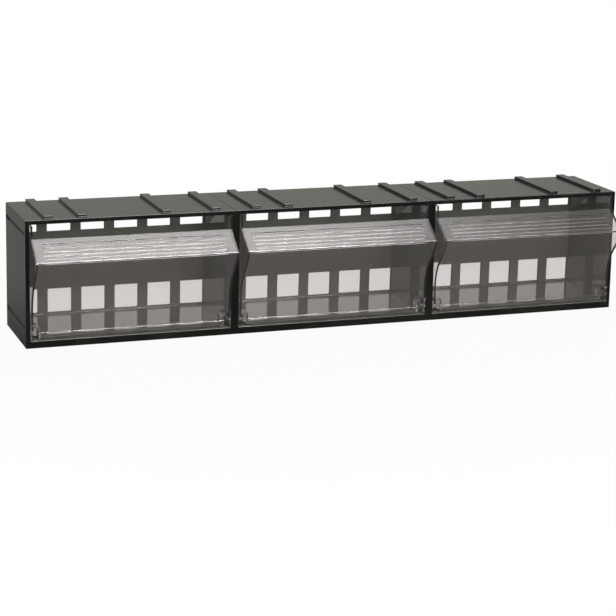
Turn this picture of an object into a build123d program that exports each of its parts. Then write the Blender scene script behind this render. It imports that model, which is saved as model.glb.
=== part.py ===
from build123d import *
import os
from math import asin, atan2, cos, degrees, hypot, radians, sin, sqrt

os.makedirs("parts", exist_ok=True)

# A row of modules. Each module is a moulded housing, open in front, with a clear bin that tips out
# about two pins near its lower front edge. A module is drawn with x from its left face, y from its
# front plane to the back, and z up from its base, in millimetres.
module_names = ("left", "middle", "right")
module_width = 200.0
housing_depth = 90.0
housing_height = 120.0

# Housing walls
side_wall = 4.0
top_wall = 4.0
floor_thickness = 6.8
back_wall = 2.5
outer_edge_round = 0.8
front_edge_round = 0.6
bay_corner_round = 0.8

# Windows through the back wall, in two rows
window_width = 23.0
window_height = 25.2
window_bar = 10.0
window_margin = 1.5
window_above_floor = 4.3
window_below_ceiling = 0.8
window_corner_round = 0.8

# Dovetail rails on top, which the slots under the next module up slide over
first_rail_inset = 23.0
first_rail_pitch = 32.0
last_rail_inset = 17.0
last_rail_pitch = 48.0
rail_width = 9.0
rail_height = 2.2
rail_setback = 7.0
rail_undercut = 0.6
slot_clearance = 0.3
slot_stop_gap = 0.6

# Grooves in the left side, which the ridges on the next module's right side snap into. They stop
# short of the front and of the back.
groove_mouth = 3.0
groove_depth = 2.0
groove_undercut = 0.2
groove_setback = 4.5
groove_rear_web = 1.5
upper_groove_drop = 13.0
lower_groove_rise = 19.0
ridge_height = 1.0
ridge_clearance = 0.1
ridge_end_gap = 0.7

# Bin walls and the gaps that let it swing in the housing
bin_wall = 1.8
bin_side_gap = 0.6
bin_floor_gap = 0.5
bin_rear_gap = 1.5
rear_corner_round = 4.0
tilt_angle = 40.0
stop_gap = 0.6
cheek_gap = 1.0

# Front of the bin: a round heel about the pivot, a straight front, a flare out to the nose and a lip
pivot_setback = 5.0
heel_radius = 7.2
front_straight = 19.5
flare_mid_reach = 11.0
flare_mid_rise = 29.5
nose_reach = 24.0
nose_drop = 18.0
nose_bead_radius = 1.3
mouth_height = 13.0
heel_bead_radius = 0.7
heel_bead_proud = 0.35

# Ribs on the lip
rib_count = 5
rib_pitch = 4.6
rib_first = 6.4
rib_width = 2.0
rib_height = 0.8
rib_crest = 1.0
rib_root = 0.3
rib_inset = 9.0

# Hinges: a pin is pressed into each side wall of the housing, and the bin's cheeks turn on the pins.
# An arched pocket behind each cheek lets it spring over its pin and keeps parts off it.
pocket_width = 5.0
pocket_height = 5.7
pocket_reach = 4.6
pin_radius = 1.5
pin_seat_depth = 2.0
pin_seat_gap = 0.1
pin_past_cheek = 0.5
pin_chamfer = 0.3
pin_seat_clearance = 0.02
pin_bin_clearance = 0.06

ceiling = housing_height - top_wall
bay_width = module_width - 2 * side_wall
bay_depth = housing_depth - back_wall

pivot_y = pivot_setback
bin_base = floor_thickness + bin_floor_gap
pivot_z = bin_base + heel_radius
front_y = pivot_y - heel_radius
rear_y = bay_depth - bin_rear_gap
bin_left = side_wall + bin_side_gap
bin_right = module_width - bin_left
lip_top_z = ceiling - mouth_height
nose_y = front_y - nose_reach
nose_z = lip_top_z - nose_drop
flare_z = pivot_z + front_straight
cheek_radius = ceiling - cheek_gap - pivot_z

# The rear wall is as tall as lets its top edge meet the ceiling just past the open angle.
tilt = radians(tilt_angle)
rear_top = pivot_z + (ceiling - stop_gap - pivot_z - (rear_y - pivot_y) * sin(tilt)) / cos(tilt)

# The row is centred on its whole width and depth, the last module's ridges and the noses included.
row_width = len(module_names) * module_width + ridge_height
row_front = nose_y
row_left = -row_width / 2
row_back_shift = -(housing_depth + row_front) / 2


def block(x0, x1, y0, y1, z0, z1):
    """A box from its lowest to its highest corner."""
    return Pos((x0 + x1) / 2, (y0 + y1) / 2, (z0 + z1) / 2) * Box(x1 - x0, y1 - y0, z1 - z0)


def bar_along_y(outline, y0, y1):
    """A prism along y on an outline of (x, z) corners."""
    face = make_face(Polyline(*[(x, y0, z) for x, z in outline], close=True))
    return extrude(face, amount=y1 - y0, dir=(0, 1, 0))


def slab_along_x(face, x0, x1):
    """A prism along x on a face drawn with y to the right and z up."""
    return Pos(x0, 0, 0) * extrude(Plane.YZ * face, amount=x1 - x0)


def arc(centre, radius, start, end):
    """An arc about a centre, from one angle to another, in degrees."""
    angles = [radians(start), radians((start + end) / 2), radians(end)]
    return ThreePointArc(*[(centre[0] + radius * cos(a), centre[1] + radius * sin(a)) for a in angles])


def rod_along_x(y, z, radius, x0, x1):
    """A round rod along x."""
    along = (Align.CENTER, Align.CENTER, Align.MIN)
    return Pos(x0, y, z) * Rot(0, 90, 0) * Cylinder(radius, x1 - x0, align=along)


def mirrored(body):
    """The same form at the other end of the module."""
    return mirror(body, about=Plane.YZ.offset(module_width / 2))


def rail_centres():
    """Where the four rails stand across the module."""
    last = module_width - last_rail_inset
    return (first_rail_inset, first_rail_inset + first_rail_pitch, last - last_rail_pitch, last)


def rail(x, clearance, y0):
    """A dovetail bar along y that stands up from z = 0, wider at its top."""
    top = rail_width / 2 + clearance
    root = top - rail_undercut
    height = rail_height + clearance
    return bar_along_y([(x - root, 0), (x + root, 0), (x + top, height), (x - top, height)], y0, housing_depth)


def side_dovetail(z, mouth, reach, y0, y1):
    """A dovetail bar along y that reaches from x = 0 to the right, taller at its far side."""
    root = mouth / 2
    far = root + groove_undercut
    return bar_along_y([(0, z - root), (reach, z - far), (reach, z + far), (0, z + root)], y0, y1)


def groove(z):
    """The groove in the left side, at one height."""
    return side_dovetail(z, groove_mouth, groove_depth, groove_setback, housing_depth - groove_rear_web)


def ridge(z):
    """The ridge on the right side, at one height."""
    mouth = groove_mouth - 2 * ridge_clearance
    start = groove_setback + ridge_end_gap
    end = housing_depth - groove_rear_web - ridge_end_gap
    return Pos(module_width, 0, 0) * side_dovetail(z, mouth, ridge_height, start, end)


def housing_shell():
    """The box of the housing with its open bay, all front edges rounded."""
    body = block(0, module_width, 0, housing_depth, 0, housing_height)
    body = fillet(body.edges().filter_by(Axis.Y), outer_edge_round)
    bay = block(side_wall, module_width - side_wall, -1, bay_depth, floor_thickness, ceiling)
    bay = fillet(bay.edges().filter_by(Axis.Y), bay_corner_round)
    body -= bay
    front = body.edges().filter_by_position(Axis.Y, -0.01, 0.01)
    return fillet(front, front_edge_round)


def window_holes():
    """The holes of both rows of windows, as many as the bay's width takes."""
    pitch = window_width + window_bar
    columns = int((bay_width + window_bar - 2 * window_margin) // pitch)
    first = module_width / 2 - (columns - 1) * pitch / 2
    rows = (floor_thickness + window_above_floor, ceiling - window_below_ceiling - window_height)
    pane = fillet(Rectangle(window_width, window_height).vertices(), window_corner_round)
    hole = Rot(90, 0, 0) * extrude(pane, amount=back_wall, both=True)
    holes = []
    for z in rows:
        for column in range(columns):
            holes.append(Pos(first + column * pitch, bay_depth + back_wall / 2, z + window_height / 2) * hole)
    return holes


def pin_seats():
    """The blind bores in both side walls for the hinge pins."""
    radius = pin_radius + pin_seat_clearance
    seat = rod_along_x(pivot_y, pivot_z, radius, side_wall - pin_seat_depth, side_wall + 1)
    return [seat, mirrored(seat)]


def housing():
    """One housing with its rails, slots, grooves, ridges, windows and pin seats."""
    body = housing_shell()
    body -= window_holes()
    for x in rail_centres():
        body += Pos(0, 0, housing_height) * rail(x, 0, rail_setback)
        body -= rail(x, slot_clearance, rail_setback - slot_stop_gap)
    for z in (lower_groove_rise, housing_height - upper_groove_drop):
        body -= groove(z)
        body += ridge(z)
    body -= pin_seats()
    return body


def bin_outline():
    """The outside of the bin's rear wall, floor, heel, front, flare and lip, as one open line."""
    mid = (front_y - flare_mid_reach, flare_z + flare_mid_rise)
    rear = Line((rear_y, rear_top), (rear_y, bin_base + rear_corner_round))
    rear_bend = arc((rear_y - rear_corner_round, bin_base + rear_corner_round), rear_corner_round, 0, -90)
    floor = Line((rear_y - rear_corner_round, bin_base), (pivot_y, bin_base))
    heel = arc((pivot_y, pivot_z), heel_radius, -90, -180)
    front = Line((front_y, pivot_z), (front_y, flare_z))
    flare_out = TangentArc((front_y, flare_z), mid, tangent=(0, 1))
    flare_up = TangentArc(mid, (nose_y, nose_z), tangent=flare_out % 1)
    lip = Line((nose_y, nose_z), (front_y, lip_top_z))
    return Wire([rear, rear_bend, floor, heel, front, flare_out, flare_up, lip])


def cheek_face(outline):
    """The side of the bin: its outline, closed by an arc about the pivot under the ceiling."""
    arc_end = degrees(asin((rear_top - pivot_z) / cheek_radius))
    arc_start = 180 - degrees(asin(sqrt(cheek_radius ** 2 - heel_radius ** 2) / cheek_radius))
    crown = arc((pivot_y, pivot_z), cheek_radius, arc_start, arc_end)
    brow = Line((front_y, lip_top_z), crown @ 0)
    back = Line(crown @ 1, (rear_y, rear_top))
    return make_face(Wire([*outline.edges(), brow, crown, back]))


def lip_ribs():
    """Ribs across the lip, for grip."""
    dy = nose_y - front_y
    dz = nose_z - lip_top_z
    length = hypot(dy, dz)
    slope = degrees(atan2(dz, dy))
    ribs = []
    for i in range(rib_count):
        s = (rib_first + i * rib_pitch) / length
        half = rib_width / 2
        crest = rib_crest / 2
        corners = [(-half, rib_root), (-crest, -rib_height), (crest, -rib_height), (half, rib_root)]
        section = make_face(Polyline(*corners, close=True))
        place = Pos(front_y + s * dy, lip_top_z + s * dz) * Rot(0, 0, slope)
        ribs.append(slab_along_x(place * section, bin_left + rib_inset, bin_right - rib_inset))
    return ribs


def arch_bar(x0, x1, top, y1):
    """A bar along y under a round arch, from below the bin up to the arch's top."""
    radius = (x1 - x0) / 2
    spring = top - radius
    legs = Polyline((x0, spring), (x0, 0), (x1, 0), (x1, spring))
    crown = arc(((x0 + x1) / 2, spring), radius, 0, 180)
    face = make_face(Wire([*legs.edges(), crown]))
    return Pos(0, row_front, 0) * (Rot(90, 0, 0) * extrude(face, amount=row_front - y1))


def pocket_walls(bin_space):
    """The arched wall round the left pocket, kept inside the bin's outer form."""
    left = bin_left
    right = left + pocket_width + 2 * bin_wall
    top = pivot_z + pocket_height + bin_wall
    return arch_bar(left, right, top, pivot_y + pocket_reach + bin_wall) & bin_space


def pocket_hollow():
    """The space in the left pocket, open in front and below."""
    left = bin_left + bin_wall
    return arch_bar(left, left + pocket_width, pivot_z + pocket_height, pivot_y + pocket_reach)


def bin_body():
    """One bin: trough, cheeks, nose and heel beads, grip ribs, pivot pockets and pin bores."""
    outline = bin_outline()
    band = make_face(offset(outline, bin_wall, side=Side.RIGHT))
    cheek = cheek_face(outline)
    body = slab_along_x(band, bin_left, bin_right)
    body += slab_along_x(cheek, bin_left, bin_left + bin_wall)
    body += slab_along_x(cheek, bin_right - bin_wall, bin_right)
    body += rod_along_x(nose_y + nose_bead_radius, nose_z, nose_bead_radius, bin_left, bin_right)
    heel_bead_y = front_y + heel_bead_radius - heel_bead_proud
    body += rod_along_x(heel_bead_y, pivot_z, heel_bead_radius, bin_left, bin_right)
    body += lip_ribs()
    walls = pocket_walls(slab_along_x(cheek, bin_left, bin_right))
    hollow = pocket_hollow()
    bore = rod_along_x(pivot_y, pivot_z, pin_radius + pin_bin_clearance, 0, bin_left + 2 * bin_wall)
    body += [walls, mirrored(walls)]
    body -= [hollow, mirrored(hollow), bore, mirrored(bore)]
    return body


def hinge_pin():
    """The left hinge pin, from its seat in the side wall to just past the cheek."""
    start = side_wall - pin_seat_depth + pin_seat_gap
    pin = rod_along_x(pivot_y, pivot_z, pin_radius, start, bin_left + bin_wall + pin_past_cheek)
    return chamfer(pin.edges().filter_by(GeomType.CIRCLE), pin_chamfer)


def write(name, body, index):
    """Move one piece to its module's place in the row and write it."""
    place = Pos(row_left + index * module_width, row_back_shift, 0)
    export_step(place * body, f"parts/{name}.step")


one_housing = housing()
one_bin = bin_body()
left_pin = hinge_pin()
right_pin = mirrored(left_pin)
for index, name in enumerate(module_names):
    write(f"{name}_housing", one_housing, index)
    write(f"{name}_bin", one_bin, index)
    write(f"{name}_bin_left_hinge_pin", left_pin, index)
    write(f"{name}_bin_right_hinge_pin", right_pin, index)
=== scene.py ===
"""Dresses a row of tip-out bins: moulded housings, clear bins, steel hinge pins and a white studio stage."""

import math

import bpy
from mathutils import Euler, Matrix, Vector


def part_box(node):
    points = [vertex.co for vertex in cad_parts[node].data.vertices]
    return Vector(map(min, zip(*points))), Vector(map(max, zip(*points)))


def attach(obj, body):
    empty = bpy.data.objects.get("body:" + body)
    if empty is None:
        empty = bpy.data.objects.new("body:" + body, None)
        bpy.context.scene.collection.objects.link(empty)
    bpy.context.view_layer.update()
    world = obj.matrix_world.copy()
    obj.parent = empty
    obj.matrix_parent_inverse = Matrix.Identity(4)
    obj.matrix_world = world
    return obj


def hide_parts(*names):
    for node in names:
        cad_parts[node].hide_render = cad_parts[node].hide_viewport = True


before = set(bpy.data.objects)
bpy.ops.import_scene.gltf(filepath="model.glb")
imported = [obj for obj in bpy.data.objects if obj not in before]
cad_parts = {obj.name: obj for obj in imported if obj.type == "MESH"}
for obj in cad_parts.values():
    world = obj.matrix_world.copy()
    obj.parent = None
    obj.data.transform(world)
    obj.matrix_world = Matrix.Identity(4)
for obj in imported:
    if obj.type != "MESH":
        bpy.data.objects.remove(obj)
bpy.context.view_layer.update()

bl_info = {
    "name": "Tip-out bin row",
    "version": (1, 0, 0),
    "blender": (4, 5, 0),
    "location": "View3D > Sidebar > Bin Row",
    "description": "Moulded housings, clear bins, hinge pins and a studio stage round the packed row",
    "category": "Object",
}

MM = 0.001
MODULES = ("left", "middle", "right")
HOUSING_LOW, HOUSING_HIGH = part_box("left_housing")
NEXT_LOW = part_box("middle_housing")[0]

# How shapes are cut, joined and rounded
PAST = 1 * MM  # How far a cut reaches past the face that it goes through
SUNK = 0.4 * MM  # How deep a rail or a ridge is sunk in the housing, and how far its slot starts outside
RIB_SUNK = 0.3 * MM  # How deep a rib is sunk in the lip
ABOVE = 20 * MM  # How far a bin's hollow reaches above the ceiling
OVER_LIP = 0.5  # How far a bin's hollow reaches over the lip's top, in walls
HAIR = 0.01 * MM  # The least height that counts as above the middle
SEAT_SIDES, BORE_SIDES, ARCH_SIDES = 28, 24, 32
PAIR = 2
ENDS = ("First", "Last")
ROUND_SEGMENTS = 2
SHARP = math.radians(38)  # Edges that turn by more than this are rounded
FEWEST_FACES = 20  # A piece with fewer faces came out empty
NODE_SPACING = 190  # From one node to the next, as the editor shows them

# Where the studio's light changes: in metres on the floor, and as parts of a ray's heading round about
FLOOR_REACH = 30.0
SHADOW_EDGE = (0.3, 0.6)
FLOOR_CHANGE = (-0.15, 0.3)
ROOM_CHANGE = (-0.3, 0.7)
OVERHEAD_EDGE = (0.70, 0.88)
FRONT_FOOT = (0.62, 0.7)
FRONT_EDGE = (-0.25, -0.15)
FIELDS_END = (0.295, 0.475)
WHITE = (1.0, 1.0, 1.0, 1.0)

# Where the clouds of wear begin and end in the noise, and its middle
WEAR_EDGE = (0.42, 0.68)
NOISE_MIDDLE = 0.5


def place_of(module):
    """The lowest left front corner of a module's housing, on its base."""
    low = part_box(f"{module}_housing")[0]
    return Vector((low.x, low.y, 0.0))


# Settings


def number(name, description, value, **kind):
    """A number setting."""
    return bpy.props.FloatProperty(name=name, description=description, default=value, **kind)


def length(name, description, millimetres):
    """A length setting, given in millimetres and kept in metres."""
    return number(name, description, millimetres * MM, precision=5, subtype="DISTANCE", unit="LENGTH")


def angle(name, description, degrees):
    """An angle setting, given in degrees."""
    return number(name, description, math.radians(degrees), subtype="ANGLE")


def share(name, description, value):
    """A setting from 0 to 1."""
    return number(name, description, value, min=0.0, max=1.0, subtype="FACTOR")


def level(name, description, value):
    """A setting from 0 up."""
    return number(name, description, value, min=0.0)


def count(name, description, value):
    """A whole number setting."""
    return bpy.props.IntProperty(name=name, description=description, default=value, min=1)


def colour(name, description, value):
    """A colour setting."""
    return bpy.props.FloatVectorProperty(
        name=name, description=description, default=value, size=3, min=0.0, max=1.0, subtype="COLOR"
    )


def place(name, description, metres):
    """A point setting, in metres."""
    return bpy.props.FloatVectorProperty(name=name, description=description, default=metres, unit="LENGTH")


class HousingSettings(bpy.types.PropertyGroup):
    """Sizes and finish of the moulded housings, and the painted light on their walls inside."""

    width: length("Width", "Width of one module, left face to right face", (NEXT_LOW.x - HOUSING_LOW.x) / MM)
    depth: length("Depth", "Depth from the front plane to the back", (HOUSING_HIGH.y - HOUSING_LOW.y) / MM)
    side_wall: length("Side wall", "Thickness of the side walls", 4.0)
    top_wall: length("Top wall", "Thickness of the top wall", 4.0)
    floor: length("Floor", "Thickness of the floor", 6.8)
    back_wall: length("Back wall", "Thickness of the back wall", 2.5)
    edge_round: length("Edge round", "Rounding of every moulded edge", 0.45)
    window_width: length("Window width", "Width of each window in the back wall", 23.0)
    window_height: length("Window height", "Height of each window in the back wall", 25.2)
    window_pitch: length("Window pitch", "From one window to the next", 33.0)
    window_columns: count("Window columns", "Windows in each row", 6)
    lower_sill: length("Lower sill", "Height of the lower windows' sill above the floor", 4.3)
    upper_head: length("Upper head", "From the ceiling down to the upper windows' head", 0.8)
    rail_width: length("Rail width", "Width of the rails at their top", 9.0)
    rail_height: length("Rail height", "Height of the rails", 2.2)
    rail_setback: length("Rail setback", "From the front plane to the rails", 7.0)
    first_rail: length("First rail", "From the left face to the first rail's middle", 23.0)
    first_rail_pitch: length("First rail pitch", "Between the two rails on the left", 32.0)
    last_rail: length("Last rail", "From the right face to the last rail's middle", 17.0)
    last_rail_pitch: length("Last rail pitch", "Between the two rails on the right", 48.0)
    rail_undercut: length("Rail undercut", "Undercut of the rails on each side", 0.6)
    slot_clearance: length("Slot clearance", "Play between a rail and its slot", 0.3)
    slot_stop: length("Slot stop", "Play between a rail's front and its slot's end", 0.6)
    groove_mouth: length("Groove mouth", "Height of the side grooves at their mouth", 3.0)
    groove_depth: length("Groove depth", "Depth of the side grooves", 2.0)
    groove_undercut: length("Groove undercut", "Undercut of the grooves on each side", 0.2)
    groove_setback: length("Groove setback", "From the front plane to the grooves", 4.5)
    groove_web: length("Groove web", "From the grooves' end to the back", 1.5)
    lower_groove: length("Lower groove", "From the base up to the lower groove's middle", 19.0)
    upper_groove: length("Upper groove", "From the top down to the upper groove's middle", 13.0)
    ridge_height: length("Ridge height", "How far the ridges stand out", 1.0)
    ridge_clearance: length("Ridge clearance", "Play between a ridge and its groove", 0.1)
    ridge_gap: length("Ridge gap", "From a ridge's end to its groove's end", 0.7)
    pin_seat: length("Pin seat", "Depth of the hinge pins' seats in the side walls", 2.0)
    seat_play: length("Seat play", "Room round a pin in its seat", 0.02)
    tint: colour("Tint", "Colour of the moulded plastic", (0.0075, 0.0078, 0.0072))
    worn_tint: colour("Worn tint", "Colour where the plastic is faintly dusty", (0.014, 0.0145, 0.013))
    roughness: share("Roughness", "Roughness of the moulded plastic", 0.2)
    # Painted light: the walls inside are the same dark plastic, and this paler colour stands in for the light they
    # show.
    inside_tint: colour("Inside painted light", "Colour of the matt walls inside", (0.19, 0.193, 0.172))
    inside_roughness: share("Inside roughness", "Roughness of the matt walls inside", 0.5)
    refraction: level("Refraction", "Index of refraction of the moulded plastic", 1.5)
    gloss: share("Gloss", "Strength of the moulded plastic's gloss", 0.4)
    grain_size: length("Grain size", "Size of the moulded grain", 0.9)


class BinSettings(bpy.types.PropertyGroup):
    """Sizes and finish of the clear bins and their hinge pins."""

    wall: length("Wall", "Thickness of the bin's walls", 1.8)
    side_gap: length("Side gap", "From the housing's side wall to the bin", 0.6)
    floor_gap: length("Floor gap", "From the housing's floor to the bin", 0.5)
    rear_gap: length("Rear gap", "From the housing's back wall to the bin", 1.5)
    rear_round: length("Rear round", "Outer radius between the floor and the rear wall", 4.0)
    pivot_setback: length("Pivot setback", "From the front plane back to the pivot", 5.0)
    heel_radius: length("Heel radius", "Radius of the round heel about the pivot", 7.2)
    straight: length("Straight front", "Height of the straight front above the pivot", 19.5)
    flare_reach: length("Flare reach", "How far the flare stands out at its middle", 11.0)
    flare_rise: length("Flare rise", "Height of the flare's middle above its foot", 29.5)
    nose_reach: length("Nose reach", "How far the nose stands out", 24.0)
    nose_drop: length("Nose drop", "From the lip's top down to the nose", 18.0)
    bead_radius: length("Bead radius", "Radius of the bead along the nose", 1.3)
    heel_bead: length("Heel bead", "Radius of the bead along the heel", 0.7)
    heel_proud: length("Heel proud", "How far the heel's bead stands out", 0.35)
    mouth: length("Mouth", "From the ceiling down to the lip's top", 13.0)
    cheek_gap: length("Cheek gap", "From the ceiling down to the cheeks' crown", 1.0)
    rear_height: length("Rear height", "Height of the rear wall's top above the base", 78.25)
    rib_count: count("Rib count", "Ribs across the lip", 5)
    rib_pitch: length("Rib pitch", "From one rib to the next", 4.6)
    rib_first: length("First rib", "From the lip's top down to the first rib", 6.4)
    rib_width: length("Rib width", "Width of a rib at its foot", 2.0)
    rib_crest: length("Rib crest", "Width of a rib at its crest", 1.0)
    rib_height: length("Rib height", "Height of a rib", 0.8)
    rib_inset: length("Rib inset", "From the bin's side to the ribs' ends", 9.0)
    pocket_width: length("Pocket width", "Width of the pockets behind the cheeks", 5.0)
    pocket_height: length("Pocket height", "Height of the pockets above the pivot", 5.7)
    pocket_reach: length("Pocket reach", "From the pivot to the back of the pockets", 4.6)
    pin_radius: length("Pin radius", "Radius of the hinge pins", 1.5)
    bore_play: length("Bore play", "Room round a pin in the cheek's bore", 0.06)
    edge_round: length("Edge round", "Rounding of the bin's edges", 0.15)
    tint: colour("Tint", "Colour that the clear plastic lets through", (0.905, 0.88, 0.87))
    worn: share("Worn", "How much of the tint is left where the plastic is worn", 0.985)
    shade_tint: colour("Shade tint", "Colour that the clear plastic lets through in its shadow", (0.86, 0.85, 0.85))
    haze: share("Haze", "Share of the light that the clear plastic scatters", 0.02)
    refraction: level("Refraction", "Index of refraction of the clear plastic", 1.57)
    roughness: share("Roughness", "Roughness of the clear plastic", 0.012)


class StageSettings(bpy.types.PropertyGroup):
    """Camera, lamp, floor and room."""

    lens: number("Lens", "Focal length on a 36 mm sensor", 113.97, unit="CAMERA")
    azimuth: angle("Azimuth", "Turn of the camera round the row", -19.945)
    elevation: angle("Elevation", "Height of the camera as an angle", 12.324)
    roll: angle("Roll", "Lean of the picture", 1.24)
    camera_place: place("Camera place", "Where the camera stands", (-0.6477, -1.7392, 0.4846))
    camera_shift: number("Camera shift", "How far the picture is slid, as a share of its side", -0.1104)
    lamp_place: place("Lamp place", "Where the front lamp stands", (0.0, -1.5, 0.68))
    lamp_tilt: angle("Lamp tilt", "Turn of the front lamp up from straight down", 67)
    lamp_width: length("Lamp width", "Width of the front lamp", 1100)
    lamp_height: length("Lamp height", "Height of the front lamp", 800)
    lamp_power: number("Lamp power", "Power of the front lamp", 14.0, unit="POWER")
    fill: level("Fill", "Level of the soft light from all round", 0.62)
    soft_box: level("Soft box", "Level of the bright field overhead, as gloss sees it", 4.1)
    front_box: level("Front box", "Level of the bright field high in front, as gloss sees it", 24.0)
    box_tint: colour("Box tint", "Colour of the bright fields", (1.0, 0.975, 0.96))
    room_tint: colour("Room tint", "Colour of the light from the room", (1.0, 0.985, 0.90))
    room_front: level("Room in front", "Level of the room in front, as gloss sees it", 0.12)
    room_behind: level("Room behind", "Level of the room behind, as gloss sees it", 0.47)
    floor_tint: colour("Floor tint", "Colour of the pale floor", (0.86, 0.86, 0.86))
    floor_white: share("Floor white", "How white the floor shows in the row's shadow", 0.93)
    floor_front: level("Floor in front", "Level of the floor in front, as gloss sees it", 0.06)
    floor_behind: level("Floor behind", "Level of the floor behind, as gloss sees it", 0.28)
    backdrop_in_gloss: share("Backdrop in gloss", "How far the backdrop is seen mirrored through the bins", 0.5)


# Node trees


FLOAT, VECTOR, INT = "NodeSocketFloat", "NodeSocketVector", "NodeSocketInt"
ROTATION, GEOMETRY = "NodeSocketRotation", "NodeSocketGeometry"
MATERIAL, COLOUR = "NodeSocketMaterial", "NodeSocketColor"
KINDS = {float: FLOAT, int: INT, tuple: VECTOR, Euler: ROTATION, bpy.types.Material: MATERIAL}
LINE = {"First": VECTOR, "Step": VECTOR, "Count": INT}


class Nodes:
    """Adds nodes to a tree and joins them by the names of their sockets."""

    def __init__(self, tree):
        self.tree = tree
        self.column = 0

    def add(self, kind, inputs=None, **settings):
        """A new node. An input takes a value, an output socket, or a list of output sockets."""
        node = self.tree.nodes.new(kind)
        node.location = (self.column * NODE_SPACING, 0)
        self.column += 1
        for name, value in settings.items():
            setattr(node, name, value)
        for name, value in (inputs or {}).items():
            socket = node.inputs[name]
            for source in value if isinstance(value, list) else [value]:
                if isinstance(source, bpy.types.NodeSocket):
                    self.tree.links.new(source, socket)
                else:
                    socket.default_value = source
        return node

    def made(self, kind, inputs=None, **settings):
        """The first output of a new node."""
        return self.add(kind, inputs, **settings).outputs[0]

    def put_out(self, **sockets):
        """Joins sockets to the tree's named outputs. Returns the tree."""
        self.add("NodeGroupOutput", sockets)
        return self.tree

    def maths(self, operation, first, second):
        """One step of arithmetic."""
        return self.made("ShaderNodeMath", {0: first, 1: second}, operation=operation)

    def eased(self, value, span, start, end):
        """A value eased from start to end as another goes through a span."""
        low, high = span
        inputs = {"Value": value, "From Min": low, "From Max": high, "To Min": start, "To Max": end}
        return self.made("ShaderNodeMapRange", inputs, interpolation_type="SMOOTHSTEP")

    def chosen(self, factor, first, second, data_type="FLOAT"):
        """A mix of two levels or colours."""
        inputs = {"Factor": factor, "A": first, "B": second}
        return self.add("ShaderNodeMix", inputs, data_type=data_type).outputs["Result"]

    def split(self, vector):
        """The three parts of a vector by their names."""
        return self.add("ShaderNodeSeparateXYZ", {0: vector}).outputs


def new_tree(name, inputs, outputs, kind="GeometryNodeTree"):
    """An empty node group with named sockets. Returns its nodes, and its inputs by name."""
    tree = bpy.data.node_groups.new(name, kind)
    for direction, sockets in (("INPUT", inputs), ("OUTPUT", outputs)):
        for label, socket_kind in sockets.items():
            tree.interface.new_socket(name=label, in_out=direction, socket_type=socket_kind)
    nodes = Nodes(tree)
    return nodes, nodes.add("NodeGroupInput").outputs


def piece_tree(name, values):
    """An empty geometry tree with a named input for each of the values."""
    sockets = {label: KINDS[type(value)] for label, value in values.items()}
    return new_tree(name, {"Geometry": GEOMETRY, **sockets}, {"Geometry": GEOMETRY})


def shared_group(maker):
    """The node group that a function makes, made once and used again."""
    return bpy.data.node_groups.get(maker.__name__.replace("_", " ").title()) or maker()


def placed_in_line(nodes, given, shape):
    """Copies of a shape in a straight line, as real geometry. Returns the tree that puts them out."""
    line = {"Count": given["Count"], "Start Location": given["First"], "Offset": given["Step"]}
    points = nodes.made("GeometryNodeMeshLine", line, mode="OFFSET")
    copies = nodes.made("GeometryNodeInstanceOnPoints", {"Points": points, "Instance": shape})
    return nodes.put_out(Mesh=nodes.made("GeometryNodeRealizeInstances", {"Geometry": copies}))


def swept_along_y(nodes, given, section):
    """A bar of the given length on a section drawn flat, its Y upwards, then turned as given."""
    upright = nodes.made("GeometryNodeTransform", {"Geometry": section, "Rotation": (0.0, 0.0, math.pi)})
    end = nodes.made("ShaderNodeCombineXYZ", {"Y": given["Length"]})
    path = nodes.made("GeometryNodeCurvePrimitiveLine", {"End": end})
    bar = nodes.made("GeometryNodeCurveToMesh", {"Curve": path, "Profile Curve": upright, "Fill Caps": True})
    return nodes.made("GeometryNodeTransform", {"Geometry": bar, "Rotation": given["Turn"]})


def boxes_in_a_line():
    """A group that sets boxes of one size in a line, by their middles."""
    nodes, given = new_tree("Boxes In A Line", {"Size": VECTOR, **LINE}, {"Mesh": GEOMETRY})
    return placed_in_line(nodes, given, nodes.made("GeometryNodeMeshCube", {"Size": given["Size"]}))


def rods_in_a_line():
    """A group that sets round rods of one size in a line, by their middles."""
    inputs = {"Radius": FLOAT, "Length": FLOAT, "Sides": INT, "Turn": ROTATION, **LINE}
    nodes, given = new_tree("Rods In A Line", inputs, {"Mesh": GEOMETRY})
    sizes = {"Vertices": given["Sides"], "Radius": given["Radius"], "Depth": given["Length"]}
    rod = nodes.made("GeometryNodeMeshCylinder", sizes)
    turned = nodes.made("GeometryNodeTransform", {"Geometry": rod, "Rotation": given["Turn"]})
    return placed_in_line(nodes, given, turned)


def bars_in_a_line():
    """A group that sets trapezoid bars in a line. A bar runs along its own Y from the middle of its foot."""
    inputs = {"Foot": FLOAT, "Crest": FLOAT, "Height": FLOAT, "Length": FLOAT, "Turn": ROTATION, **LINE}
    nodes, given = new_tree("Bars In A Line", inputs, {"Mesh": GEOMETRY})
    sizes = {"Height": given["Height"], "Bottom Width": given["Foot"], "Top Width": given["Crest"], "Offset": 0.0}
    section = nodes.made("GeometryNodeCurvePrimitiveQuadrilateral", sizes, mode="TRAPEZOID")
    lift = nodes.made("ShaderNodeCombineXYZ", {"Y": nodes.maths("MULTIPLY", given["Height"], 0.5)})
    raised = nodes.made("GeometryNodeTransform", {"Geometry": section, "Translation": lift})
    return placed_in_line(nodes, given, swept_along_y(nodes, given, raised))


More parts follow.
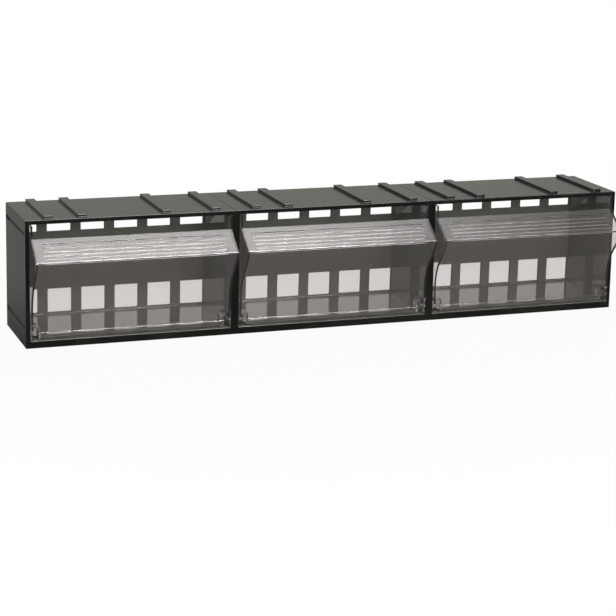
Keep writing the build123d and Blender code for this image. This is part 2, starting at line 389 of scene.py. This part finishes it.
def arches_in_a_line():
    """A group that sets arched bars in a line. A bar runs along its own Y from the middle of its arch."""
    inputs = {"Radius": FLOAT, "Drop": FLOAT, "Length": FLOAT, "Sides": INT, "Turn": ROTATION, **LINE}
    nodes, given = new_tree("Arches In A Line", inputs, {"Mesh": GEOMETRY})
    ring = nodes.made("GeometryNodeCurvePrimitiveCircle", {"Resolution": given["Sides"], "Radius": given["Radius"]})
    height = nodes.split(nodes.made("GeometryNodeInputPosition"))["Y"]
    upper = nodes.made("FunctionNodeCompare", {"A": height, "B": HAIR}, operation="GREATER_THAN", data_type="FLOAT")
    drop = nodes.made("ShaderNodeCombineXYZ", {"Y": given["Drop"]})
    slot = nodes.made("GeometryNodeSetPosition", {"Geometry": ring, "Selection": upper, "Offset": drop})
    return placed_in_line(nodes, given, swept_along_y(nodes, given, slot))


def grouped(nodes, maker, inputs):
    """A shared group placed in a tree, giving its mesh."""
    return nodes.made("GeometryNodeGroup", inputs, node_tree=shared_group(maker))


def bars(nodes, given, kind, first, step, turn, number=PAIR):
    """One kind of bar in a line, its sizes and places from the tree's inputs."""
    sizes = {part: given[f"{kind} {part}"] for part in ("Foot", "Crest", "Height", "Length")}
    line = {"First": given[first], "Step": given[step], "Count": number}
    return grouped(nodes, bars_in_a_line, {**sizes, "Turn": turn, **line})


def cross_rods(nodes, given, kind, sides):
    """One kind of rod along X, on both sides, its sizes and places from the tree's inputs."""
    sizes = {part: given[f"{kind} {part}"] for part in ("Radius", "Length", "Step")}
    line = {"Sides": sides, "Turn": ROD_ALONG_X, "First": given[kind], "Count": PAIR}
    return grouped(nodes, rods_in_a_line, {**sizes, **line})


def combined(nodes, operation, first, others):
    """The exact union or difference of a mesh and others."""
    if operation == "DIFFERENCE":
        inputs = {"Mesh 1": first, "Mesh 2": others}
    else:
        inputs = {"Mesh 2": [first] + others}
    return nodes.made("GeometryNodeMeshBoolean", inputs, operation=operation, solver="EXACT")


def close_tree(nodes, given, mesh):
    """Ends a piece's tree with smooth faces, plain geometry and its material. Returns the tree."""
    smooth = nodes.made("GeometryNodeSetShadeSmooth", {"Geometry": mesh, "Shade Smooth": True})
    real = nodes.made("GeometryNodeRealizeInstances", {"Geometry": smooth})
    dressed = nodes.made("GeometryNodeSetMaterial", {"Geometry": real, "Material": given["Material"]})
    return nodes.put_out(Geometry=dressed)


def turned_to(x_axis, y_axis, z_axis):
    """The rotation that lays a bar's own axes along three given directions."""
    return Matrix((x_axis, y_axis, z_axis)).transposed().to_euler()


ALONG_Y = turned_to((1, 0, 0), (0, 1, 0), (0, 0, 1))
INTO_SIDE = turned_to((0, 0, -1), (0, 1, 0), (1, 0, 0))
ROD_ALONG_X = Euler((0, math.pi / 2, 0))


def set_input(modifier, name, value):
    """Sets a geometry nodes input by its socket's identifier."""
    for item in modifier.node_group.interface.items_tree:
        if item.item_type == "SOCKET" and item.in_out == "INPUT" and item.name == name:
            modifier[item.identifier] = tuple(value) if isinstance(value, Euler) else value
            return
    raise RuntimeError(f"{modifier.node_group.name} has no input {name}")


def new_object(name, data):
    """A new object in the scene."""
    made = bpy.data.objects.new(name, data)
    bpy.context.scene.collection.objects.link(made)
    return made


def grown_mesh(name, base, tree, inputs, edge_round):
    """Runs a tree and a bevel on a mesh and returns the result as a plain mesh."""
    maker = new_object(f"{name}_maker", base)
    form = maker.modifiers.new("Form", "NODES")
    form.node_group = tree
    for label, value in inputs.items():
        set_input(form, label, value)
    bevel = maker.modifiers.new("Edge round", "BEVEL")
    bevel.width = edge_round
    bevel.segments = ROUND_SEGMENTS
    bevel.limit_method = "ANGLE"
    bevel.angle_limit = SHARP
    bevel.use_clamp_overlap = False
    bevel.miter_outer = "MITER_ARC"
    maker.modifiers.new("Weighted normals", "WEIGHTED_NORMAL").keep_sharp = True
    bpy.context.view_layer.update()
    mesh = bpy.data.meshes.new_from_object(maker.evaluated_get(bpy.context.evaluated_depsgraph_get()))
    if len(mesh.polygons) < FEWEST_FACES:
        raise RuntimeError(f"{name} came out empty")
    bpy.data.objects.remove(maker)
    return mesh


def set_piece(name, mesh, module, material, body, replaced):
    """A module's own copy of a mesh, in its place, riding on its body."""
    own = mesh.copy()
    own.name = name
    own.transform(Matrix.Translation(place_of(module)))
    own.materials.clear()
    own.materials.append(material)
    piece = new_object(name, own)
    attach(piece, body)
    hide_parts(replaced)


# Housing


def housing_tree(values):
    """The tree of one housing: shell, two rows of windows, rails, slots, grooves, ridges and pin seats."""
    nodes, given = piece_tree("Moulded Housing", values)

    def box(size, middle, step=None, number=1):
        line = {"Size": given[size], "First": given[middle], "Count": number}
        if step:
            line["Step"] = given[step]
        return grouped(nodes, boxes_in_a_line, line)

    columns = given["Window Columns"]
    # The bay's faces carry the mark Inside, where the material paints a paler colour as painted light.
    marked = {"Geometry": box("Bay Size", "Bay Middle"), "Name": "Inside", "Value": 1.0}
    holes = [
        nodes.made("GeometryNodeStoreNamedAttribute", marked, data_type="FLOAT", domain="FACE"),
        box("Window Size", "Lower Window", "Window Step", columns),
        box("Window Size", "Upper Window", "Window Step", columns),
        *(bars(nodes, given, "Slot", f"{end} Slot", f"{end} Rail Step", ALONG_Y) for end in ENDS),
        bars(nodes, given, "Groove", "Groove", "Groove Step", INTO_SIDE),
    ]
    shell = combined(nodes, "DIFFERENCE", box("Outer Size", "Outer Middle"), holes)
    added = [
        *(bars(nodes, given, "Rail", f"{end} Rail", f"{end} Rail Step", ALONG_Y) for end in ENDS),
        bars(nodes, given, "Ridge", "Ridge", "Groove Step", INTO_SIDE),
    ]
    moulded = combined(nodes, "UNION", shell, added)
    seats = cross_rods(nodes, given, "Seat", SEAT_SIDES)
    return close_tree(nodes, given, combined(nodes, "DIFFERENCE", moulded, [seats]))


def housing_inputs(h, b):
    """The tree's inputs for the sizes in the settings."""
    height = HOUSING_HIGH.z - h.rail_height
    bay_depth = h.depth - h.back_wall
    ceiling = height - h.top_wall
    first_window = h.width / 2 - (h.window_columns - 1) * h.window_pitch / 2
    window_y = h.depth - h.back_wall / 2
    lean = h.rail_undercut / h.rail_height
    slot_crest = h.rail_width + 2 * h.slot_clearance
    slot_start = h.rail_setback - h.slot_stop
    groove_lean = h.groove_undercut / h.groove_depth
    groove_end = h.depth - h.groove_web
    ridge_root = h.groove_mouth - 2 * h.ridge_clearance
    ridge_lean = h.groove_undercut / h.ridge_height
    ridge_start = h.groove_setback + h.ridge_gap
    last_rail = h.width - h.last_rail - h.last_rail_pitch
    seat_middle = h.side_wall + (PAST - h.pin_seat) / 2
    return {
        "Window Columns": h.window_columns,
        "Outer Size": (h.width, h.depth, height),
        "Outer Middle": (h.width / 2, h.depth / 2, height / 2),
        "Bay Size": (h.width - 2 * h.side_wall, bay_depth + PAST, ceiling - h.floor),
        "Bay Middle": (h.width / 2, (bay_depth - PAST) / 2, (ceiling + h.floor) / 2),
        "Window Size": (h.window_width, h.back_wall + 2 * PAST, h.window_height),
        "Lower Window": (first_window, window_y, h.floor + h.lower_sill + h.window_height / 2),
        "Upper Window": (first_window, window_y, ceiling - h.upper_head - h.window_height / 2),
        "Window Step": (h.window_pitch, 0, 0),
        "First Rail": (h.first_rail, h.rail_setback, height - SUNK),
        "First Rail Step": (h.first_rail_pitch, 0, 0),
        "Last Rail": (last_rail, h.rail_setback, height - SUNK),
        "Last Rail Step": (h.last_rail_pitch, 0, 0),
        "Rail Foot": h.rail_width - 2 * h.rail_undercut - 2 * SUNK * lean,
        "Rail Crest": h.rail_width,
        "Rail Height": h.rail_height + SUNK,
        "Rail Length": h.depth - h.rail_setback,
        "First Slot": (h.first_rail, slot_start, -SUNK),
        "Last Slot": (last_rail, slot_start, -SUNK),
        "Slot Foot": slot_crest - 2 * h.rail_undercut - 2 * SUNK * lean,
        "Slot Crest": slot_crest,
        "Slot Height": h.rail_height + h.slot_clearance + SUNK,
        "Slot Length": h.depth - slot_start + PAST,
        "Groove": (-SUNK, h.groove_setback, h.lower_groove),
        "Groove Step": (0, 0, height - h.upper_groove - h.lower_groove),
        "Groove Foot": h.groove_mouth - 2 * SUNK * groove_lean,
        "Groove Crest": h.groove_mouth + 2 * h.groove_undercut,
        "Groove Height": h.groove_depth + SUNK,
        "Groove Length": groove_end - h.groove_setback,
        "Ridge": (h.width - SUNK, ridge_start, h.lower_groove),
        "Ridge Foot": ridge_root - 2 * SUNK * ridge_lean,
        "Ridge Crest": ridge_root + 2 * h.groove_undercut,
        "Ridge Height": h.ridge_height + SUNK,
        "Ridge Length": groove_end - h.ridge_gap - ridge_start,
        "Seat": (seat_middle, b.pivot_setback, h.floor + b.floor_gap + b.heel_radius),
        "Seat Step": (h.width - 2 * seat_middle, 0, 0),
        "Seat Radius": b.pin_radius + h.seat_play,
        "Seat Length": h.pin_seat + PAST,
    }


# Bin


def arc_points(centre, radius, start, end, steps):
    """Points on an arc from one angle to another, in degrees, both ends included."""
    angles = [math.radians(start + (end - start) * i / steps) for i in range(steps + 1)]
    return [Vector((centre[0] + radius * math.cos(a), centre[1] + radius * math.sin(a))) for a in angles]


def beaded(line, at, middle, radius, start, end):
    """A line with one of its points replaced by points round a bead's front, from start up to end."""
    first = math.degrees(math.atan2(start.y - middle.y, start.x - middle.x)) % 360
    last = math.degrees(math.atan2(end.y - middle.y, end.x - middle.x))
    return line[:at] + arc_points(middle, radius, first, last, steps=12) + line[at + 1 :]


def tangent_arc(start, heading, end, steps):
    """Points on the arc that leaves start along heading and ends at end, and its heading there."""
    side = Vector((-heading.y, heading.x))
    chord = end - start
    radius = chord.length_squared / (2 * chord.dot(side))
    centre = start + side * radius
    first, last = start - centre, end - centre
    sweep = -math.degrees(first.angle_signed(last))
    begin = math.degrees(math.atan2(first.y, first.x))
    points = arc_points(centre, abs(radius), begin, begin + sweep, steps)
    return points, Vector((-last.y, last.x)).normalized() * (1 if radius > 0 else -1)


class BinForm:
    """The places in a bin's side view, from the settings: x is depth from the front plane, y is height."""

    def __init__(self, h, b):
        self.wall = b.wall
        height = HOUSING_HIGH.z - h.rail_height
        self.ceiling = height - h.top_wall
        base = h.floor + b.floor_gap
        self.pivot = Vector((b.pivot_setback, base + b.heel_radius))
        self.front = b.pivot_setback - b.heel_radius
        rear = h.depth - h.back_wall - b.rear_gap
        self.left = h.side_wall + b.side_gap
        self.right = h.width - self.left
        self.lip_top = Vector((self.front, self.ceiling - b.mouth))
        self.nose = self.lip_top + Vector((-b.nose_reach, -b.nose_drop))
        self.crown_radius = self.ceiling - b.cheek_gap - self.pivot.y
        self.rear_top = b.rear_height
        foot = Vector((self.front, self.pivot.y + b.straight))
        middle = foot + Vector((-b.flare_reach, b.flare_rise))
        bend = Vector((rear - b.rear_round, base + b.rear_round))
        lower, heading = tangent_arc(foot, Vector((0, 1)), middle, steps=14)
        upper = tangent_arc(middle, heading, self.nose, steps=12)[0]
        self.outline = [Vector((rear, self.rear_top))]
        self.outline += arc_points(bend, b.rear_round, 0, -90, steps=8)
        self.outline += arc_points(self.pivot, b.heel_radius, -90, -180, steps=12)
        self.outline += lower + upper[1:] + [self.lip_top]
        self.rounded = self.with_beads(b)

    def with_beads(self, b):
        """The outline with a round bead on its nose, and a slight one along its heel."""
        at = self.outline.index(self.nose)
        back = (self.outline[at - 1] - self.nose).normalized()
        up = (self.lip_top - self.nose).normalized()
        middle = self.nose + Vector((b.bead_radius, 0))
        start = self.nose + back * (2 * b.bead_radius * back.x)
        end = self.nose + up * (2 * b.bead_radius * up.x)
        line = beaded(self.outline, at, middle, b.bead_radius, start, end)
        sunk = b.heel_bead - b.heel_proud
        reach = b.heel_radius - sunk
        across = (b.heel_radius**2 - b.heel_bead**2 + reach**2) / (2 * reach)
        middle = Vector((self.front + sunk, self.pivot.y))
        start = self.pivot - Vector((across, math.sqrt(b.heel_radius**2 - across**2)))
        end = Vector((self.front, self.pivot.y + math.sqrt(b.heel_bead**2 - sunk**2)))
        at = next(i for i, point in enumerate(line) if (point - middle).length < b.heel_bead)
        return beaded(line, at, middle, b.heel_bead, start, end)

    def inner_line(self):
        """The outline moved in by the wall, its corners mitred."""
        ways = [(end - start).normalized() for start, end in zip(self.outline, self.outline[1:])]
        inner = []
        for i, point in enumerate(self.outline):
            sides = [Vector((way.y, -way.x)) for way in ways[max(i - 1, 0) : i + 1]]
            middle = sum(sides, Vector((0, 0))).normalized()
            inner.append(point + middle * (self.wall / middle.dot(sides[0])))
        return inner

    def cheek_line(self):
        """The outline closed by the crown of the cheeks."""
        end = math.degrees(math.asin((self.rear_top - self.pivot.y) / self.crown_radius))
        start = math.degrees(math.acos((self.front - self.pivot.x) / self.crown_radius))
        return self.rounded + arc_points(self.pivot, self.crown_radius, start, end, steps=24)

    def cavity_line(self):
        """The hollow between the cheeks, open above."""
        inner = self.inner_line()
        above = self.ceiling + ABOVE
        over_lip = self.lip_top + (self.lip_top - inner[-1]) * OVER_LIP
        return inner + [over_lip, Vector((over_lip.x, above)), Vector((inner[0].x, above))]


def prism(points, low, high):
    """The vertices and faces of a prism along X on a side view."""
    number = len(points)
    if sum(p.x * q.y - q.x * p.y for p, q in zip(points, points[1:] + points[:1])) < 0:
        points = points[::-1]
    vertices = [(x, p.x, p.y) for x in (low, high) for p in points]
    sides = [(i, (i + 1) % number, (i + 1) % number + number, i + number) for i in range(number)]
    return vertices, [tuple(reversed(range(number))), tuple(range(number, 2 * number)), *sides]


def bin_blanks(form):
    """A mesh of two solids for the bin's tree: the outer form, and the hollow, whose faces carry the mark Hollow."""
    outer = prism(form.cheek_line(), form.left, form.right)
    hollow = prism(form.cavity_line(), form.left + form.wall, form.right - form.wall)
    offset = len(outer[0])
    mesh = bpy.data.meshes.new("bin_blanks")
    mesh.from_pydata(outer[0] + hollow[0], [], outer[1] + [tuple(i + offset for i in face) for face in hollow[1]])
    mark = mesh.attributes.new("Hollow", "BOOLEAN", "FACE")
    for i in range(len(mesh.polygons)):
        mark.data[i].value = i >= len(outer[1])
    return mesh


def bin_tree(values):
    """The tree of one bin: trough and cheeks, arched pockets, grip ribs and pin bores."""
    nodes, given = piece_tree("Clear Bin", values)

    def pockets(kind):
        return grouped(nodes, arches_in_a_line, {
            "Radius": given[f"{kind} Radius"], "Drop": given["Pocket Drop"], "Length": given[f"{kind} Length"],
            "Sides": ARCH_SIDES, "Turn": ALONG_Y, "First": given[kind], "Step": given["Pocket Step"], "Count": PAIR,
        })

    mark = nodes.made("GeometryNodeInputNamedAttribute", {"Name": "Hollow"}, data_type="BOOLEAN")
    both = {"Geometry": given["Geometry"], "Selection": mark}
    blanks = nodes.add("GeometryNodeSeparateGeometry", both, domain="FACE").outputs
    hollow = combined(nodes, "DIFFERENCE", blanks["Selection"], [pockets("Pocket Wall")])
    trough = combined(nodes, "DIFFERENCE", blanks["Inverted"], [hollow])
    ribs = bars(nodes, given, "Rib", "Rib", "Rib Step", given["Rib Turn"], given["Rib Count"])
    ribbed = combined(nodes, "UNION", trough, [ribs])
    bores = cross_rods(nodes, given, "Bore", BORE_SIDES)
    return close_tree(nodes, given, combined(nodes, "DIFFERENCE", ribbed, [pockets("Pocket Hollow"), bores]))


def bin_inputs(form, b):
    """The tree's inputs for the sizes in the settings."""
    front = form.nose.x - PAST
    hollow_radius = b.pocket_width / 2
    middle = form.left + form.wall + hollow_radius
    hollow_back = form.pivot.x + b.pocket_reach
    bore_middle = form.left + form.wall / 2
    down_lip = (form.nose - form.lip_top).normalized()
    out_of_lip = Vector((down_lip.y, -down_lip.x)) if down_lip.x < 0 else Vector((-down_lip.y, down_lip.x))
    first_rib = form.lip_top + down_lip * b.rib_first - out_of_lip * RIB_SUNK
    return {
        "Pocket Wall": (middle, front, 0.0),
        "Pocket Wall Radius": hollow_radius + form.wall,
        "Pocket Wall Length": hollow_back + form.wall - front,
        "Pocket Hollow": (middle, front, 0.0),
        "Pocket Hollow Radius": hollow_radius,
        "Pocket Hollow Length": hollow_back - front,
        "Pocket Drop": form.pivot.y + b.pocket_height - hollow_radius,
        "Pocket Step": (form.right + form.left - 2 * middle, 0, 0),
        "Bore": (bore_middle, form.pivot.x, form.pivot.y),
        "Bore Step": (form.right + form.left - 2 * bore_middle, 0, 0),
        "Bore Radius": b.pin_radius + b.bore_play,
        "Bore Length": form.wall + 2 * PAST,
        "Rib": (form.left + b.rib_inset, first_rib.x, first_rib.y),
        "Rib Step": (0, down_lip.x * b.rib_pitch, down_lip.y * b.rib_pitch),
        "Rib Count": b.rib_count,
        "Rib Turn": turned_to((0, down_lip.x, down_lip.y), (1, 0, 0), (0, out_of_lip.x, out_of_lip.y)),
        "Rib Foot": b.rib_width,
        "Rib Crest": b.rib_crest,
        "Rib Height": b.rib_height + RIB_SUNK,
        "Rib Length": form.right - form.left - 2 * b.rib_inset,
    }


# Materials


def worn_surface():
    """A shader group for moulded and drawn surfaces: clouds of wear in colour and roughness, and a fine grain."""
    inputs = {
        "Colour": COLOUR, "Worn Colour": COLOUR, "Roughness": FLOAT, "Roughness Spread": FLOAT,
        "Grain Scale": FLOAT, "Grain Depth": FLOAT, "Cloud Scale": FLOAT, "Stretch": VECTOR,
    }
    outputs = {"Colour": COLOUR, "Roughness": FLOAT, "Normal": VECTOR}
    nodes, given = new_tree("Worn Surface", inputs, outputs, "ShaderNodeTree")
    spot = nodes.add("ShaderNodeTexCoord").outputs["Object"]
    stretched = nodes.made("ShaderNodeVectorMath", {0: spot, 1: given["Stretch"]}, operation="MULTIPLY")
    cloud_inputs = {"Vector": spot, "Scale": given["Cloud Scale"], "Detail": 4.0, "Roughness": 0.6}
    clouds = nodes.made("ShaderNodeTexNoise", cloud_inputs)
    grain = nodes.made("ShaderNodeTexNoise", {"Vector": stretched, "Scale": given["Grain Scale"], "Detail": 3.0})
    wear = nodes.eased(clouds, WEAR_EDGE, 0.0, 1.0)
    spread = nodes.maths("MULTIPLY", nodes.maths("SUBTRACT", clouds, NOISE_MIDDLE), given["Roughness Spread"])
    return nodes.put_out(
        Colour=nodes.chosen(wear, given["Colour"], given["Worn Colour"], "RGBA"),
        Roughness=nodes.made("ShaderNodeMath", {0: spread, 1: given["Roughness"]}, operation="ADD", use_clamp=True),
        Normal=nodes.made("ShaderNodeBump", {"Height": grain, "Distance": given["Grain Depth"], "Strength": 0.6}),
    )


def opaque(tint):
    """A colour setting as a shader's colour."""
    return (*tint, 1.0)


def cleared_nodes(owner):
    """Turns on the nodes of a material or a world, and clears them."""
    owner.use_nodes = True
    owner.node_tree.nodes.clear()
    return Nodes(owner.node_tree)


def new_material(name, surface, values):
    """A material whose Principled shader reads the worn surface group. Returns it, its nodes and the shader."""
    material = bpy.data.materials.new(name)
    nodes = cleared_nodes(material)
    inputs = {"Stretch": (1.0, 1.0, 1.0), **surface}
    worn = nodes.add("ShaderNodeGroup", inputs, node_tree=shared_group(worn_surface)).outputs
    read = {"Base Color": worn["Colour"], "Roughness": worn["Roughness"], "Normal": worn["Normal"]}
    shader = nodes.made("ShaderNodeBsdfPrincipled", {**read, **values})
    return material, nodes, shader


def housing_material(h):
    """Glossy dark plastic with a fine moulded grain, matt on the walls inside, with a paler colour painted there as
    painted light.
    """
    surface = {
        "Colour": opaque(h.tint), "Worn Colour": opaque(h.worn_tint), "Roughness": h.roughness,
        "Roughness Spread": 0.12, "Grain Scale": 1 / h.grain_size, "Grain Depth": 0.02 * MM, "Cloud Scale": 14.0,
    }
    values = {"IOR": h.refraction, "Specular IOR Level": h.gloss}
    material, nodes, shader = new_material("housing plastic", surface, values)
    # Painted light: faces marked Inside get a paler colour that stands in for the light on the walls inside.
    inside = nodes.add("ShaderNodeAttribute", attribute_name="Inside").outputs["Fac"]
    matt = {"Base Color": (opaque(h.inside_tint), "RGBA"), "Roughness": (h.inside_roughness, "FLOAT")}
    for name, (value, data_type) in matt.items():
        socket = shader.node.inputs[name]
        nodes.tree.links.new(nodes.chosen(inside, socket.links[0].from_socket, value, data_type), socket)
    nodes.add("ShaderNodeOutputMaterial", {"Surface": shader})
    return material


def clear_material(b):
    """Clear plastic, faintly tinted and hazy, that lets the lamp's light through."""
    surface = {
        "Colour": opaque(b.tint), "Worn Colour": opaque([part * b.worn for part in b.tint]),
        "Roughness": b.roughness, "Roughness Spread": 0.01, "Grain Scale": 60.0, "Grain Depth": 0.008 * MM,
        "Cloud Scale": 9.0,
    }
    values = {"IOR": b.refraction, "Transmission Weight": 1.0 - b.haze}
    material, nodes, shader = new_material("clear plastic", surface, values)
    shadow_ray = nodes.add("ShaderNodeLightPath").outputs["Is Shadow Ray"]
    shade = nodes.made("ShaderNodeBsdfTransparent", {"Color": opaque(b.shade_tint)})
    mixed = nodes.made("ShaderNodeMixShader", {0: shadow_ray, 1: shader, 2: shade})
    nodes.add("ShaderNodeOutputMaterial", {"Surface": mixed})
    return material


def pin_material():
    """Drawn steel, with fine lines round the pin."""
    surface = {
        "Colour": (0.55, 0.55, 0.54, 1.0), "Worn Colour": (0.42, 0.42, 0.41, 1.0), "Roughness": 0.32,
        "Roughness Spread": 0.1, "Grain Scale": 900.0, "Grain Depth": 0.01 * MM, "Cloud Scale": 300.0,
        "Stretch": (6.0, 1.0, 1.0),
    }
    material, nodes, shader = new_material("pin steel", surface, {"Metallic": 1.0})
    nodes.add("ShaderNodeOutputMaterial", {"Surface": shader})
    return material


def ray_shares(nodes, turned_share):
    """Two shares of a ray: how far it sees the white backdrop, and how far it sees the room as gloss does.

    Camera rays see the backdrop, and so do rays through clear plastic. Of the latter, those that gloss has turned
    see a share of it. A depth under a half means that a ray hasn't been scattered or turned.
    """
    path = nodes.add("ShaderNodeLightPath").outputs
    unscattered = nodes.maths("LESS_THAN", path["Diffuse Depth"], 0.5)
    unturned = nodes.maths("LESS_THAN", path["Glossy Depth"], 0.5)
    through = nodes.maths("MULTIPLY", path["Is Transmission Ray"], nodes.maths("MAXIMUM", unturned, turned_share))
    seen = nodes.maths("MULTIPLY", unscattered, nodes.maths("MAXIMUM", path["Is Camera Ray"], through))
    mirrored = nodes.maths("MAXIMUM", path["Is Glossy Ray"], path["Is Transmission Ray"])
    return seen, nodes.maths("MULTIPLY", unscattered, mirrored)


# Operators


class MakeHousings(bpy.types.Operator):
    """Makes the three moulded housings, with their windows, rails, slots, grooves, ridges and pin seats"""

    bl_idname = "binrow.make_housings"
    bl_label = "Make Housings"

    def execute(self, context):
        h, b = context.scene.housing_settings, context.scene.bin_settings
        material = housing_material(h)
        values = {"Material": material, **housing_inputs(h, b)}
        blank = bpy.data.meshes.new("housing_blank")
        mesh = grown_mesh("housing", blank, housing_tree(values), values, h.edge_round)
        for module in MODULES:
            packed = f"{module}_housing"
            set_piece(f"{module}_moulded_housing", mesh, module, material, "housings", packed)
        return {"FINISHED"}


class MakeBins(bpy.types.Operator):
    """Makes the three clear bins, each riding on its own hinge"""

    bl_idname = "binrow.make_bins"
    bl_label = "Make Bins"

    def execute(self, context):
        h, b = context.scene.housing_settings, context.scene.bin_settings
        material = clear_material(b)
        form = BinForm(h, b)
        values = {"Material": material, **bin_inputs(form, b)}
        mesh = grown_mesh("bin", bin_blanks(form), bin_tree(values), values, b.edge_round)
        for module in MODULES:
            packed = f"{module}_bin"
            set_piece(f"{module}_clear_bin", mesh, module, material, packed, packed)
        return {"FINISHED"}


class DressHingePins(bpy.types.Operator):
    """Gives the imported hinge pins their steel"""

    bl_idname = "binrow.dress_hinge_pins"
    bl_label = "Dress Hinge Pins"

    def execute(self, context):
        material = pin_material()
        for name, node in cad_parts.items():
            if name.endswith("hinge_pin"):
                node.data.materials.clear()
                node.data.materials.append(material)
        return {"FINISHED"}


class SetStage(bpy.types.Operator):
    """Sets the pale floor, the world, the front lamp and the camera"""

    bl_idname = "binrow.set_stage"
    bl_label = "Set Stage"

    def execute(self, context):
        stage = context.scene.stage_settings
        self.make_floor(stage)
        self.make_world(context, stage)
        self.make_lamp(stage)
        self.make_camera(context, stage)
        context.scene.view_settings.view_transform = "Standard"
        return {"FINISHED"}

    def make_floor(self, stage):
        """A wide floor that shows white, and keeps the row's shadow near it."""
        mesh = bpy.data.meshes.new("floor")
        corners = [(x * FLOOR_REACH, y * FLOOR_REACH, 0) for x, y in ((-1, -1), (1, -1), (1, 1), (-1, 1))]
        mesh.from_pydata(corners, [], [(0, 1, 2, 3)])
        material = bpy.data.materials.new("pale floor")
        nodes = cleared_nodes(material)
        matt = nodes.made("ShaderNodeBsdfDiffuse", {"Color": opaque(stage.floor_tint)})
        spot = nodes.add("ShaderNodeTexCoord").outputs["Object"]
        away = nodes.add("ShaderNodeVectorMath", {0: spot}, operation="LENGTH").outputs["Value"]
        seen, mirrored = ray_shares(nodes, 0.0)
        white = nodes.maths("MULTIPLY", seen, nodes.eased(away, SHADOW_EDGE, stage.floor_white, 1.0))
        in_gloss = nodes.eased(nodes.split(spot)["Y"], FLOOR_CHANGE, stage.floor_front, stage.floor_behind)
        glow = nodes.made("ShaderNodeEmission", {
            "Color": nodes.chosen(seen, opaque(stage.room_tint), WHITE, "RGBA"),
            "Strength": nodes.chosen(seen, in_gloss, 1.0),
        })
        mirror = nodes.maths("MULTIPLY", mirrored, nodes.maths("SUBTRACT", 1.0, seen))
        lit = nodes.maths("MAXIMUM", white, mirror)
        mixed = nodes.made("ShaderNodeMixShader", {0: lit, 1: matt, 2: glow})
        nodes.add("ShaderNodeOutputMaterial", {"Surface": mixed})
        mesh.materials.append(material)
        floor = new_object("floor", mesh)

    def make_world(self, context, stage):
        """White to the eye and through the bins, an even fill, and in gloss a room with two bright fields.

        One field is overhead and the other high in front. Both fade out towards the right.
        """
        world = bpy.data.worlds.new("studio")
        nodes = cleared_nodes(world)
        heading = nodes.split(nodes.add("ShaderNodeTexCoord").outputs["Generated"])
        seen, mirrored = ray_shares(nodes, stage.backdrop_in_gloss)
        overhead = nodes.eased(heading["Z"], OVERHEAD_EDGE, 0.0, stage.soft_box)
        high = nodes.eased(heading["Z"], FRONT_FOOT, 0.0, 1.0)
        front = nodes.maths("MULTIPLY", high, nodes.eased(heading["Y"], FRONT_EDGE, stage.front_box, 0.0))
        both = nodes.maths("ADD", overhead, front)
        fields = nodes.maths("MULTIPLY", both, nodes.eased(heading["X"], FIELDS_END, 1.0, 0.0))
        room = nodes.eased(heading["Y"], ROOM_CHANGE, stage.room_front, stage.room_behind)
        around = nodes.chosen(mirrored, stage.fill, nodes.maths("ADD", fields, room))
        from_field = nodes.maths("MULTIPLY", mirrored, nodes.maths("MINIMUM", fields, 1.0))
        tint = nodes.chosen(from_field, opaque(stage.room_tint), opaque(stage.box_tint), "RGBA")
        light = nodes.made("ShaderNodeBackground", {
            "Color": nodes.chosen(seen, tint, WHITE, "RGBA"), "Strength": nodes.chosen(seen, around, 1.0),
        })
        nodes.add("ShaderNodeOutputWorld", {"Surface": light})
        context.scene.world = world

    def make_lamp(self, stage):
        """One wide soft lamp high in front, which gloss and clear plastic don't show."""
        data = bpy.data.lights.new("front lamp", "AREA")
        data.shape = "RECTANGLE"
        data.size, data.size_y = stage.lamp_width, stage.lamp_height
        data.energy = stage.lamp_power
        lamp = new_object("front lamp", data)
        lamp.location = stage.lamp_place
        lamp.rotation_euler.x = stage.lamp_tilt
        lamp.visible_glossy = lamp.visible_transmission = False

    def make_camera(self, context, stage):
        """The camera where the photograph was taken."""
        data = bpy.data.cameras.new("camera")
        data.lens = stage.lens
        data.sensor_width = 36.0
        data.shift_y = stage.camera_shift
        camera = new_object("camera", data)
        a, e = stage.azimuth, stage.elevation
        back = Vector((math.sin(a) * math.cos(e), -math.cos(a) * math.cos(e), math.sin(e)))
        level_turn = (-back).to_track_quat("-Z", "Y").to_matrix()
        lean = Matrix.Rotation(stage.roll, 3, "Z")
        camera.matrix_world = Matrix.Translation(stage.camera_place) @ (level_turn @ lean).to_4x4()
        context.scene.camera = camera


class BinRowPanel(bpy.types.Panel):
    """Lists the steps that dress the row, and their settings"""

    bl_idname = "VIEW3D_PT_bin_row"
    bl_label = "Bin Row"
    bl_space_type = "VIEW_3D"
    bl_region_type = "UI"
    bl_category = "Bin Row"

    def draw(self, context):
        for operator, settings in STEPS.items():
            box = self.layout.box()
            box.operator(operator.bl_idname)
            for name in SETTINGS[settings].__annotations__ if settings else ():
                box.prop(getattr(context.scene, settings), name)


SETTINGS = {"housing_settings": HousingSettings, "bin_settings": BinSettings, "stage_settings": StageSettings}
STEPS = {MakeHousings: "housing_settings", MakeBins: "bin_settings", DressHingePins: None, SetStage: "stage_settings"}
CLASSES = (*SETTINGS.values(), *STEPS, BinRowPanel)


def register():
    for kind in CLASSES:
        bpy.utils.register_class(kind)
    for name, kind in SETTINGS.items():
        setattr(bpy.types.Scene, name, bpy.props.PointerProperty(type=kind))


def unregister():
    for name in SETTINGS:
        delattr(bpy.types.Scene, name)
    for kind in reversed(CLASSES):
        bpy.utils.unregister_class(kind)


def main():
    """Runs every step in order."""
    register()
    bpy.ops.binrow.set_stage()
    bpy.ops.binrow.make_housings()
    bpy.ops.binrow.make_bins()
    bpy.ops.binrow.dress_hinge_pins()


if __name__ == "__main__":
    main()
